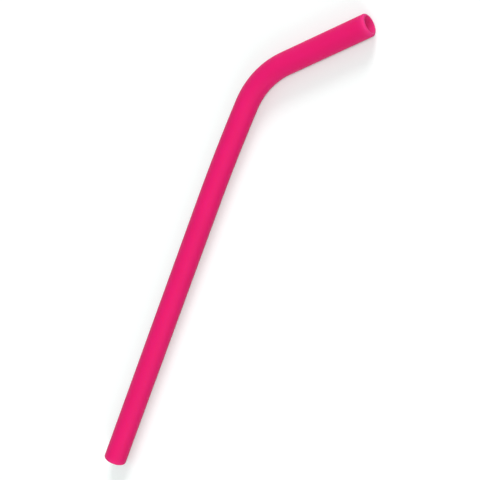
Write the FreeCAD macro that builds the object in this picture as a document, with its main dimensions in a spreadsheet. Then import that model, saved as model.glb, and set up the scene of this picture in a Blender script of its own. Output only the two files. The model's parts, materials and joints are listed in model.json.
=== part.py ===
import FreeCAD, Part
import math
import os

import Sketcher

# A bent drinking straw, moulded in one piece from soft silicone rubber: a plain round tube of
# even wall, open at both ends, with rounded lips.
#
# It lies on its side on a level surface, which is Z = 0, with its centreline level. The stem runs
# along +Y, and the elbow turns the mouthpiece towards +X. The origin is the centre of the
# footprint, on the surface. Lengths are in millimetres and angles in degrees.

DIMENSIONS = (
    ("outer_diameter", 10.0, "outside of the tube"),
    ("wall_thickness", 1.25, "silicone between the outside and the bore"),
    ("stem_length", 127.0, "straight run, from the end that stands in the drink"),
    ("bow_radius", 900.0, "centreline radius of the slight bow above the stem"),
    ("bow_angle", 3.0, "turn of the bow"),
    ("elbow_radius", 35.0, "centreline radius of the elbow"),
    ("elbow_angle", 42.0, "turn of the elbow"),
    ("mouthpiece_length", 42.0, "straight run from the elbow to the lips"),
    ("lip_radius", 1.0, "rounding of the outside at each end"),
    ("bore_edge_radius", 0.2, "rounding of the bore at each end"),
    ("lip_land", 0.05, "narrowest flat ring left between the two roundings"),
)

START, END = 1, 2
ORIGIN = (-1, START)


def make_sheet(doc):
    """The spreadsheet of driving dimensions, one row each: its name, its value and what it is."""
    sheet = doc.addObject("Spreadsheet::Sheet", "Sizes")
    for row, (alias, value, meaning) in enumerate(DIMENSIONS, start=1):
        sheet.set(f"A{row}", alias)
        sheet.set(f"B{row}", str(value))
        sheet.set(f"C{row}", meaning)
        sheet.setAlias(f"B{row}", alias)
    doc.recompute()
    return sheet


def add_sketch(body, name, plane_role):
    """An empty sketch on one of the body's own origin planes."""
    plane = next(p for p in body.Origin.OriginFeatures if p.Role == plane_role)
    sketch = body.newObject("Sketcher::SketchObject", name)
    sketch.AttachmentSupport = [(plane, "")]
    sketch.MapMode = "FlatFace"
    return sketch


def drive(sketch, name, constraint, expression):
    """Add a named constraint whose value comes from the sheet."""
    index = sketch.addConstraint(constraint)
    sketch.renameConstraint(index, name)
    sketch.setExpression(f"Constraints.{name}", expression)


def draw_centreline(body, sheet):
    """The level line that the tube follows: stem, bow, elbow and mouthpiece, each tangent to the next."""
    sketch = add_sketch(body, "centreline", "XY_Plane")
    bow_turn = math.radians(sheet.bow_angle)
    whole_turn = bow_turn + math.radians(sheet.elbow_angle)

    def across(turn):
        """Towards the inside of the bend, at right angles to a centreline that has turned this far."""
        return FreeCAD.Vector(math.cos(turn), -math.sin(turn), 0)

    def along(turn):
        return FreeCAD.Vector(math.sin(turn), math.cos(turn), 0)

    def arc(centre, radius, turn_from, turn_to):
        circle = Part.Circle(centre, FreeCAD.Vector(0, 0, 1), radius)
        return Part.ArcOfCircle(circle, math.pi - turn_to, math.pi - turn_from)

    stem_end = along(0) * sheet.stem_length
    bow_centre = stem_end + across(0) * sheet.bow_radius
    bow_end = bow_centre - across(bow_turn) * sheet.bow_radius
    elbow_centre = bow_end + across(bow_turn) * sheet.elbow_radius
    elbow_end = elbow_centre - across(whole_turn) * sheet.elbow_radius
    mouth = elbow_end + along(whole_turn) * sheet.mouthpiece_length

    stem = sketch.addGeometry(Part.LineSegment(FreeCAD.Vector(), stem_end))
    bow = sketch.addGeometry(arc(bow_centre, sheet.bow_radius, 0, bow_turn))
    elbow = sketch.addGeometry(arc(elbow_centre, sheet.elbow_radius, bow_turn, whole_turn))
    mouthpiece = sketch.addGeometry(Part.LineSegment(elbow_end, mouth))

    # An arc runs anticlockwise, so each one ends where the run below it leaves off.
    sketch.addConstraint(Sketcher.Constraint("Coincident", stem, START, *ORIGIN))
    sketch.addConstraint(Sketcher.Constraint("Vertical", stem))
    sketch.addConstraint(Sketcher.Constraint("Tangent", stem, END, bow, END))
    sketch.addConstraint(Sketcher.Constraint("Tangent", bow, START, elbow, END))
    sketch.addConstraint(Sketcher.Constraint("Tangent", elbow, START, mouthpiece, START))

    drive(sketch, "stem", Sketcher.Constraint("Distance", stem, sheet.stem_length), "Sizes.stem_length")
    drive(sketch, "bow_radius", Sketcher.Constraint("Radius", bow, sheet.bow_radius), "Sizes.bow_radius")
    drive(sketch, "bow_turn", Sketcher.Constraint("Angle", bow, bow_turn), "Sizes.bow_angle * 1 deg")
    drive(
        sketch,
        "elbow_radius",
        Sketcher.Constraint("Radius", elbow, sheet.elbow_radius),
        "Sizes.elbow_radius",
    )
    drive(
        sketch,
        "elbow_turn",
        Sketcher.Constraint("Angle", elbow, whole_turn - bow_turn),
        "Sizes.elbow_angle * 1 deg",
    )
    drive(
        sketch,
        "mouthpiece",
        Sketcher.Constraint("Distance", mouthpiece, sheet.mouthpiece_length),
        "Sizes.mouthpiece_length",
    )
    return sketch


def draw_section(body, sheet):
    """The ring of silicone that is the tube's section everywhere, at the foot of the stem."""
    sketch = add_sketch(body, "section", "XZ_Plane")
    bore_diameter = sheet.outer_diameter - 2 * sheet.wall_thickness
    for name, diameter, expression in (
        ("outside", sheet.outer_diameter, "Sizes.outer_diameter"),
        ("bore", bore_diameter, "Sizes.outer_diameter - 2 * Sizes.wall_thickness"),
    ):
        circle = Part.Circle(FreeCAD.Vector(), FreeCAD.Vector(0, 0, 1), diameter / 2)
        ring = sketch.addGeometry(circle)
        sketch.addConstraint(Sketcher.Constraint("Coincident", ring, 3, *ORIGIN))
        drive(sketch, name, Sketcher.Constraint("Diameter", ring, diameter), expression)
    return sketch


def rims(shape, largest):
    """The names of the largest, or smallest, circular edge of each flat end of the tube."""
    names = []
    for face in shape.Faces:
        if not isinstance(face.Surface, Part.Plane):
            continue
        rings = sorted(face.Edges, key=lambda edge: edge.Curve.Radius)
        rim = rings[-1] if largest else rings[0]
        number = next(n for n, edge in enumerate(shape.Edges, start=1) if edge.isSame(rim))
        names.append(f"Edge{number}")
    return names


def round_rims(body, name, base, largest, expression):
    """A fillet on the outer, or inner, rim of both ends."""
    fillet = body.newObject("PartDesign::Fillet", name)
    fillet.Base = (base, rims(base.Shape, largest))
    fillet.setExpression("Radius", expression)
    body.Document.recompute()
    return fillet


def make_straw(doc, sheet):
    body = doc.addObject("PartDesign::Body", "straw")
    body.Label = "straw"
    centreline = draw_centreline(body, sheet)
    section = draw_section(body, sheet)
    doc.recompute()

    tube = body.newObject("PartDesign::AdditivePipe", "tube")
    tube.Profile = section
    tube.Spine = (centreline, [f"Edge{n}" for n in range(1, 5)])
    tube.Mode = "Frenet"
    doc.recompute()

    lips = round_rims(
        body,
        "lips",
        tube,
        True,
        "min(Sizes.lip_radius; Sizes.wall_thickness - Sizes.bore_edge_radius - Sizes.lip_land)",
    )
    round_rims(body, "bore_edges", lips, False, "Sizes.bore_edge_radius")
    return body


def lay_down(body):
    """Rest the straw on Z = 0, with the middle of its footprint at the origin."""
    bounds = body.Shape.optimalBoundingBox()
    body.Placement.Base = FreeCAD.Vector(-bounds.Center.x, -bounds.Center.y, -bounds.ZMin)


def check(doc, bodies):
    """Stop if anything failed to compute, or a body isn't one sound solid."""
    for item in doc.Objects:
        if {"Invalid", "Error"} & set(item.State):
            raise RuntimeError(f"{item.Label} failed: {item.State}")
    for body in bodies:
        shape = body.Shape
        if shape.isNull() or not shape.isValid() or len(shape.Solids) != 1:
            raise RuntimeError(f"{body.Label} is not one valid solid")


def main():
    doc = FreeCAD.newDocument("SiliconeStraw")
    sheet = make_sheet(doc)
    straw = make_straw(doc, sheet)
    lay_down(straw)
    doc.recompute()
    check(doc, [straw])
    os.makedirs("parts", exist_ok=True)
    for body in [straw]:
        body.Shape.exportStep(f"parts/{body.Label}.step")


main()
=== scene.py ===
import json
import math

import bmesh
import bpy
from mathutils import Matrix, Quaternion, Vector


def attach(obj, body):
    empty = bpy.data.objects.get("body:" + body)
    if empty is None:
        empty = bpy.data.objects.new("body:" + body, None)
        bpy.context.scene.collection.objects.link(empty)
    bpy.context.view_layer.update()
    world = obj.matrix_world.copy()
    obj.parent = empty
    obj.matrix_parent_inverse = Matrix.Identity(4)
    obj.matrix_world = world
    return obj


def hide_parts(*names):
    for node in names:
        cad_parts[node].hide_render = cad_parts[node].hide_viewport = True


# A bent drinking straw of hot pink silicone rubber, lying on its side on a white surface. Lengths
# are in metres, in the CAD's own frame: Z up, the stem along +Y, the mouthpiece turned towards +X.

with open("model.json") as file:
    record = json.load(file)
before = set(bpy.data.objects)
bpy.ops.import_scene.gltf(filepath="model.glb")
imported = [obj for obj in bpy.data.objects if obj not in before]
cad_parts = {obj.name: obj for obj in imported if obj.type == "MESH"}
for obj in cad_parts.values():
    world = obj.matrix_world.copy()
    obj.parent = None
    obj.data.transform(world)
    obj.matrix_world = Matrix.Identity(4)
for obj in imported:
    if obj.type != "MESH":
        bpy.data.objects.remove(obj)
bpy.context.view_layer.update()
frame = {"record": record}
mounts = {mount["name"]: mount for mount in frame["record"]["mounts"]}

MM = 0.001
UP = Vector((0, 0, 1))
WHITE = (1.0, 1.0, 1.0)

# The straw's few sizes that its mounts don't give.
BOW_RADIUS = 900 * MM
BOW_TURN = math.radians(3)
ELBOW_RADIUS = 35 * MM
LIP_RADIUS = 1.0 * MM
BORE_EDGE_RADIUS = 0.2 * MM

# How finely the straw is meshed: faces round it, how far apart its rings are, and how many steps
# there are over each rounding.
AROUND = 96
RING_SPACING = 1.2 * MM
LIP_STEPS = 8
BORE_EDGE_STEPS = 4

# The skin gets a map of this name, for baking its material, and lies on it in strips, with a
# gap round each one.
BAKE_MAP = "OFBake"
BAKE_STRIPS = 4
BAKE_GAP = 0.003

# Hot pink at its lightest and at its deepest. The paler pink is painted light: in the bore, and at
# the lips for this far along, it stands in for light that the thin, translucent silicone lets
# through.
PINK_LIGHT = (0.776, 0.0043, 0.152)
PINK_DEEP = (0.742, 0.0038, 0.142)
PINK_PAINTED_LIGHT = (0.81, 0.029, 0.216)
PAINTED_LIGHT_REACH = 3.5 * MM

# Noise in the silicone: how large its features are across the tube, how many times longer they are
# along it, and how many levels of finer detail it has.
CLOUDS = {"feature": 9 * MM, "stretch": 2.5, "detail": 3}
GRAIN = {"feature": 0.22 * MM, "stretch": 1, "detail": 2}
DRAW_LINES = {"feature": 0.5 * MM, "stretch": 60, "detail": 2}
WAVES = {"feature": 7 * MM, "stretch": 3, "detail": 1}

# Most of a noise's values lie between these two.
NOISE_LOW = 0.3
NOISE_HIGH = 0.7

# How deep the noise makes the surface, and how rough its smoothest and its roughest grain are.
GRAIN_DEPTH = 0.02 * MM
DRAW_LINE_DEPTH = 0.01 * MM
WAVE_DEPTH = 0.03 * MM
SMOOTHEST = 0.54
ROUGHEST = 0.7

# The rest of how silicone takes light: a weak gloss, a little light that spreads inside it, red
# the furthest, and a faint powdery sheen. Each one is under the name of its socket on the shader.
SILICONE = {
    "IOR": 1.41,
    "Specular IOR Level": 0.25,
    "Subsurface Weight": 0.35,
    "Subsurface Radius": (1.0, 0.3, 0.5),
    "Subsurface Scale": 1.2 * MM,
    "Sheen Weight": 0.12,
    "Sheen Roughness": 0.4,
}

# The table lights the straw as a grey one would, and looks white. Its faint glow takes the straw's
# pink out of the shadow.
FLOOR_SIZE = 40.0
FLOOR_LIT = (0.26, 0.26, 0.26)
FLOOR_GLOW = (0.0, 0.05, 0.04)

# Soft light: the room's level, then each lamp's name, where it comes from, its level on a white
# surface that faces it, and how many degrees across it looks.
ROOM_LEVEL = 0.38
LAMPS = (
    ("front", (0.42, 0.29, 0.86), 0.4, 10),
    ("back", (-0.15, 0.88, 0.45), 0.5, 24),
    ("side", (0.72, -0.6, 0.34), 0.32, 50),
)

# The camera looks down on the straw, rolled so that the stem runs up the picture. Azimuth 0 looks
# along +Y and 90 along -X, elevation is above the horizon, and the lens is in millimetres.
CAMERA_AIM = Vector((0.7, 5.1, 5.0)) * MM
CAMERA_DISTANCE = 762.9 * MM
CAMERA_AZIMUTH = math.radians(124.68)
CAMERA_ELEVATION = math.radians(59.01)
CAMERA_ROLL = math.radians(-100.27)
CAMERA_LENS = 135


class Run:
    """A stretch of the centreline with one curvature, which turns towards the elbow's inside. Its
    points are (along, across) the stem, and its headings are angles from the stem."""

    def __init__(self, start, heading, length, curvature=0.0):
        self.start = start
        self.heading = heading
        self.length = length
        self.curvature = curvature

    def heading_at(self, distance):
        return self.heading + self.curvature * distance

    def point_at(self, distance):
        """(along, across) of the point this far down the run."""
        along, across = self.start
        first, here = self.heading, self.heading_at(distance)
        if self.curvature:
            radius = 1 / self.curvature
            return (
                along + radius * (math.sin(here) - math.sin(first)),
                across + radius * (math.cos(first) - math.cos(here)),
            )
        return along + distance * math.cos(first), across + distance * math.sin(first)

    def follow(self, length, curvature=0.0):
        """The next run, tangent to the end of this one."""
        return Run(self.point_at(self.length), self.heading_at(self.length), length, curvature)


def bend(stem, turn):
    """The bow and the elbow that follow a stem and turn this far together."""
    bow = stem.follow(BOW_RADIUS * BOW_TURN, 1 / BOW_RADIUS)
    elbow = bow.follow(ELBOW_RADIUS * (turn - BOW_TURN), 1 / ELBOW_RADIUS)
    return bow, elbow


class Centreline:
    """Stem, bow, elbow and mouthpiece, tangent to each other, from the foot to the mouth."""

    def __init__(self, foot, mouth, stem_way, mouth_way):
        self.foot = foot
        self.along = stem_way
        self.across = stem_way.cross(UP)
        turn = stem_way.angle(mouth_way)

        # The bend's reach is known from its turn. The mouthpiece makes up the rest of the reach
        # across the stem, and then the stem makes up the rest along it.
        elbow = bend(Run((0, 0), 0, 0), turn)[-1]
        bent_along, bent_across = elbow.point_at(elbow.length)
        reach = mouth - foot
        mouthpiece_length = (reach.dot(self.across) - bent_across) / math.sin(turn)
        stem_length = reach.dot(self.along) - bent_along - mouthpiece_length * math.cos(turn)

        stem = Run((0, 0), 0, stem_length)
        bow, elbow = bend(stem, turn)
        self.runs = [stem, bow, elbow, elbow.follow(mouthpiece_length)]
        self.length = sum(run.length for run in self.runs)

    def at(self, station):
        """The centreline's point this far from the foot, and the level direction across it."""
        for run in self.runs:
            if station <= run.length or run is self.runs[-1]:
                break
            station -= run.length
        along, across = run.point_at(station)
        heading = run.heading_at(station)
        point = self.foot + self.along * along + self.across * across
        return point, self.across * math.cos(heading) - self.along * math.sin(heading)


def straw_centreline():
    """The centreline between the ends, which the bore's two mounts stop a rounding short of."""
    foot, mouth = mounts["foot_bore"], mounts["mouth_bore"]
    foot_way, mouth_way = Vector(foot["axis"]), Vector(mouth["axis"])
    return Centreline(
        Vector(foot["pos_m"]) + foot_way * BORE_EDGE_RADIUS,
        Vector(mouth["pos_m"]) + mouth_way * BORE_EDGE_RADIUS,
        -foot_way,
        mouth_way,
    )


def quarter_turn(steps):
    """Evenly spaced angles from 0 to a right angle, both included."""
    return [math.pi / 2 * step / steps for step in range(steps + 1)]


def end_profile(outside, bore):
    """(distance from the end, radius) pairs from the outside, over the lip, into the bore."""
    pairs = []
    for angle in quarter_turn(LIP_STEPS):
        inset = LIP_RADIUS * (1 - math.sin(angle))
        pairs.append((inset, outside - LIP_RADIUS * (1 - math.cos(angle))))
    for angle in quarter_turn(BORE_EDGE_STEPS):
        inset = BORE_EDGE_RADIUS * (1 - math.cos(angle))
        pairs.append((inset, bore + BORE_EDGE_RADIUS * (1 - math.sin(angle))))
    return pairs


def between(first, last, spacing):
    """Evenly spaced values strictly between two, about the spacing apart."""
    count = max(1, round(abs(last - first) / spacing))
    return [first + (last - first) * step / count for step in range(1, count)]


def straw_profile(length, outside, bore):
    """(station, radius) of every ring, where a station is a distance from the foot: over the foot's
    lip, up the outside, over the mouth's lip, and back down the bore."""
    lip = end_profile(outside, bore)
    mouth = [(length - inset, radius) for inset, radius in lip]
    foot = [(inset, radius) for inset, radius in reversed(lip)]
    up = [(station, outside) for station in between(foot[-1][0], mouth[0][0], RING_SPACING)]
    down = [(station, bore) for station in between(mouth[-1][0], foot[0][0], RING_SPACING)]
    return foot + up + mouth + down


def painted_light_share(station, radius, length, outside):
    """How much painted light the colour gets: 1 in the bore and on its edges, fading to 0 along the
    outside, away from either end.
    """
    if radius < outside - LIP_RADIUS:
        return 1.0
    from_end = min(station, length - station)
    return max(0.0, 1 - from_end / PAINTED_LIGHT_REACH) ** 2


def bake_rows(profile):
    """(strip, left, right) of each row of faces on the bake map."""
    lengths = [math.dist(first, last) for first, last in zip(profile, profile[1:] + profile[:1])]
    rows = math.ceil(len(lengths) / BAKE_STRIPS)
    longest = max(sum(lengths[start : start + rows]) for start in range(0, len(lengths), rows))
    places = []
    for number, length in enumerate(lengths):
        strip, row = divmod(number, rows)
        left = places[-1][2] if row else 0
        places.append((strip, left, left + length / longest))
    return places


def bake_place(strip, along, around):
    """The point on the bake map this far along a strip and round the tube, both from 0 to 1."""
    inside = 1 - 2 * BAKE_GAP
    across = (strip + around) / BAKE_STRIPS
    gap = BAKE_GAP * (1 - 2 * around)
    return BAKE_GAP + along * inside, across + gap


def add_rings(mesh, line, profile, outside):
    """A ring of vertices for each point of the profile. Each vertex keeps its place on the straw as
    if it were straight, and how much painted light its colour gets."""
    unbent = mesh.verts.layers.float_vector.new("unbent")
    # How much painted light each vertex's colour gets, in the bore and at the lips.
    painted_light = mesh.verts.layers.float.new("painted_light")
    rings = []
    for station, radius in profile:
        centre, side = line.at(station)
        ring = []
        for step in range(AROUND):
            angle = 2 * math.pi * step / AROUND
            aside, upward = radius * math.cos(angle), radius * math.sin(angle)
            vertex = mesh.verts.new(centre + side * aside + UP * upward)
            vertex[unbent] = (aside, upward, station)
            vertex[painted_light] = painted_light_share(station, radius, line.length, outside)
            ring.append(vertex)
        rings.append(ring)
    return rings


def add_faces(mesh, rings, profile):
    """A row of quads from each ring to the next, and from the last back to the first, with its place
    on the bake map."""
    bake_map = mesh.loops.layers.uv.new(BAKE_MAP)
    for ring, following, row in zip(rings, rings[1:] + rings[:1], bake_rows(profile)):
        strip, left, right = row
        for step in range(AROUND):
            beside = (step + 1) % AROUND
            face = mesh.faces.new((ring[step], ring[beside], following[beside], following[step]))
            face.smooth = True
            near, far = step / AROUND, (step + 1) / AROUND
            corners = ((left, near), (left, far), (right, far), (right, near))
            for loop, (along, around) in zip(face.loops, corners):
                loop[bake_map].uv = bake_place(strip, along, around)


def make_straw():
    """The whole tube as one closed skin of quads."""
    line = straw_centreline()
    outside = mounts["stem"]["dims"]["r_mm"] * MM
    bore = mounts["foot_bore"]["dims"]["r_mm"] * MM
    profile = straw_profile(line.length, outside, bore)
    mesh = bmesh.new()
    rings = add_rings(mesh, line, profile, outside)
    add_faces(mesh, rings, profile)
    bmesh.ops.recalc_face_normals(mesh, faces=mesh.faces)
    data = bpy.data.meshes.new("silicone_straw")
    mesh.to_mesh(data)
    mesh.free()
    straw = bpy.data.objects.new("silicone_straw", data)
    bpy.context.scene.collection.objects.link(straw)
    return straw


def new_material(name):
    """A material, its node tree with nothing else in it, and its output node."""
    material = bpy.data.materials.new(name)
    material.use_nodes = True
    tree = material.node_tree
    tree.nodes.clear()
    return material, tree, tree.nodes.new("ShaderNodeOutputMaterial")


def noise(tree, place, feature, stretch, detail):
    """Noise with features of about this size, drawn out along the tube."""
    across = 1 / feature
    mapping = tree.nodes.new("ShaderNodeMapping")
    mapping.inputs["Scale"].default_value = (across, across, across / stretch)
    tree.links.new(place, mapping.inputs["Vector"])
    texture = tree.nodes.new("ShaderNodeTexNoise")
    texture.inputs["Scale"].default_value = 1.0
    texture.inputs["Detail"].default_value = detail
    tree.links.new(mapping.outputs["Vector"], texture.inputs["Vector"])
    return texture.outputs["Fac"]


def blend_colours(tree, factor, first, second):
    """A mix of two colours, each one a value or another node's output."""
    node = tree.nodes.new("ShaderNodeMix")
    node.data_type = "RGBA"
    tree.links.new(factor, node.inputs["Factor"])
    for name, colour in (("A", first), ("B", second)):
        if isinstance(colour, tuple):
            node.inputs[name].default_value = (*colour, 1)
        else:
            tree.links.new(colour, node.inputs[name])
    return node.outputs["Result"]


def attribute(tree, name):
    """What the skin's vertices keep under this name."""
    node = tree.nodes.new("ShaderNodeAttribute")
    node.attribute_name = name
    return node


def remap(tree, value, low, high):
    """A noise's usual values, spread from low to high."""
    node = tree.nodes.new("ShaderNodeMapRange")
    node.inputs["From Min"].default_value = NOISE_LOW
    node.inputs["From Max"].default_value = NOISE_HIGH
    node.inputs["To Min"].default_value = low
    node.inputs["To Max"].default_value = high
    tree.links.new(value, node.inputs["Value"])
    return node.outputs["Result"]


def bump(tree, height, depth, below=None):
    """A bump of this depth, on top of another if there is one."""
    node = tree.nodes.new("ShaderNodeBump")
    node.inputs["Strength"].default_value = 1.0
    node.inputs["Distance"].default_value = depth
    tree.links.new(height, node.inputs["Height"])
    if below is not None:
        tree.links.new(below, node.inputs["Normal"])
    return node.outputs["Normal"]


def silicone_material():
    """Matte silicone rubber: pigment that clouds a little, painted light in the bore and at the lips,
    a satin grain, and faint draw lines.
    """
    material, tree, output = new_material("hot_pink_silicone")
    place = attribute(tree, "unbent").outputs["Vector"]
    clouds = noise(tree, place, **CLOUDS)
    grain = noise(tree, place, **GRAIN)
    lines = noise(tree, place, **DRAW_LINES)
    waves = noise(tree, place, **WAVES)

    pigment_and_painted_light = blend_colours(tree, remap(tree, clouds, 0, 1), PINK_DEEP, PINK_LIGHT)
    # Painted light: the paler pink in the bore and at the lips stands in for light through the thin
    # silicone.
    pigment_and_painted_light = blend_colours(tree, attribute(tree, "painted_light").outputs["Fac"], pigment_and_painted_light, PINK_PAINTED_LIGHT)

    relief = bump(tree, waves, WAVE_DEPTH)
    relief = bump(tree, lines, DRAW_LINE_DEPTH, relief)
    relief = bump(tree, grain, GRAIN_DEPTH, relief)

    shader = tree.nodes.new("ShaderNodeBsdfPrincipled")
    for name, value in SILICONE.items():
        shader.inputs[name].default_value = value
    tree.links.new(pigment_and_painted_light, shader.inputs["Base Color"])
    tree.links.new(remap(tree, grain, SMOOTHEST, ROUGHEST), shader.inputs["Roughness"])
    tree.links.new(relief, shader.inputs["Normal"])
    tree.links.new(shader.outputs["BSDF"], output.inputs["Surface"])
    return material


def seen_directly(tree):
    """1 for what the camera, a gloss or a glass sees, and 0 for light that falls on something."""
    path = tree.nodes.new("ShaderNodeLightPath")
    either = path.outputs["Is Camera Ray"]
    for name in ("Is Glossy Ray", "Is Transmission Ray"):
        node = tree.nodes.new("ShaderNodeMath")
        node.operation = "MAXIMUM"
        tree.links.new(either, node.inputs[0])
        tree.links.new(path.outputs[name], node.inputs[1])
        either = node.outputs["Value"]
    return either


def light_or_look(tree, light, look):
    """One shader for the light that falls on other things, and another for what is seen directly."""
    mix = tree.nodes.new("ShaderNodeMixShader")
    tree.links.new(seen_directly(tree), mix.inputs["Fac"])
    tree.links.new(light, mix.inputs[1])
    tree.links.new(look, mix.inputs[2])
    return mix.outputs["Shader"]


def matte(tree, colour):
    """A matte surface of one colour."""
    shader = tree.nodes.new("ShaderNodeBsdfDiffuse")
    shader.inputs["Color"].default_value = (*colour, 1)
    return shader.outputs["BSDF"]


def floor_material():
    """A white table: it takes shadows, and looks white where none falls."""
    material, tree, output = new_material("white_table")
    light = matte(tree, FLOOR_LIT)
    glow = tree.nodes.new("ShaderNodeEmission")
    glow.inputs["Color"].default_value = (*FLOOR_GLOW, 1)
    look = tree.nodes.new("ShaderNodeAddShader")
    tree.links.new(matte(tree, WHITE), look.inputs[0])
    tree.links.new(glow.outputs["Emission"], look.inputs[1])
    shader = light_or_look(tree, light, look.outputs["Shader"])
    tree.links.new(shader, output.inputs["Surface"])
    return material


def make_floor():
    """A level square at Z = 0, too large for its edges to show."""
    half = FLOOR_SIZE / 2
    data = bpy.data.meshes.new("floor")
    corners = [(-half, -half, 0), (half, -half, 0), (half, half, 0), (-half, half, 0)]
    data.from_pydata(corners, [], [(0, 1, 2, 3)])
    data.materials.append(floor_material())
    floor = bpy.data.objects.new("floor", data)
    bpy.context.scene.collection.objects.link(floor)


def surroundings(tree, level):
    """White light from all round, where a level of 1 looks white."""
    shader = tree.nodes.new("ShaderNodeBackground")
    shader.inputs["Color"].default_value = (*WHITE, 1)
    shader.inputs["Strength"].default_value = level
    return shader.outputs["Background"]


def make_world():
    """An even, dim room that looks white."""
    world = bpy.data.worlds.new("studio")
    bpy.context.scene.world = world
    world.use_nodes = True
    tree = world.node_tree
    tree.nodes.clear()
    output = tree.nodes.new("ShaderNodeOutputWorld")
    shader = light_or_look(tree, surroundings(tree, ROOM_LEVEL), surroundings(tree, 1.0))
    tree.links.new(shader, output.inputs["Surface"])


def make_lamp(name, comes_from, level, spread):
    """A soft lamp as far off as the sun, so it is equally bright all over the table. Its energy is pi
    times the level that it gives a white surface."""
    data = bpy.data.lights.new(name, "SUN")
    data.energy = math.pi * level
    data.angle = math.radians(spread)
    lamp = bpy.data.objects.new(name, data)
    lamp.rotation_mode = "QUATERNION"
    lamp.rotation_quaternion = Vector(comes_from).to_track_quat("Z", "Y")
    bpy.context.scene.collection.objects.link(lamp)


def make_camera():
    """The camera, which stands back from the point that it aims at."""
    level = math.cos(CAMERA_ELEVATION)
    back = Vector(
        (
            math.sin(CAMERA_AZIMUTH) * level,
            -math.cos(CAMERA_AZIMUTH) * level,
            math.sin(CAMERA_ELEVATION),
        )
    )
    data = bpy.data.cameras.new("camera")
    data.lens = CAMERA_LENS
    camera = bpy.data.objects.new("camera", data)
    camera.location = CAMERA_AIM + back * CAMERA_DISTANCE
    camera.rotation_mode = "QUATERNION"
    camera.rotation_quaternion = (-back).to_track_quat("-Z", "Y") @ Quaternion(UP, CAMERA_ROLL)
    bpy.context.scene.collection.objects.link(camera)
    bpy.context.scene.camera = camera


bpy.context.scene.view_settings.view_transform = "Standard"
make_camera()
make_floor()
make_world()
for lamp in LAMPS:
    make_lamp(*lamp)

straw = make_straw()
straw.data.materials.append(silicone_material())
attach(straw, "root")
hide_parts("straw")
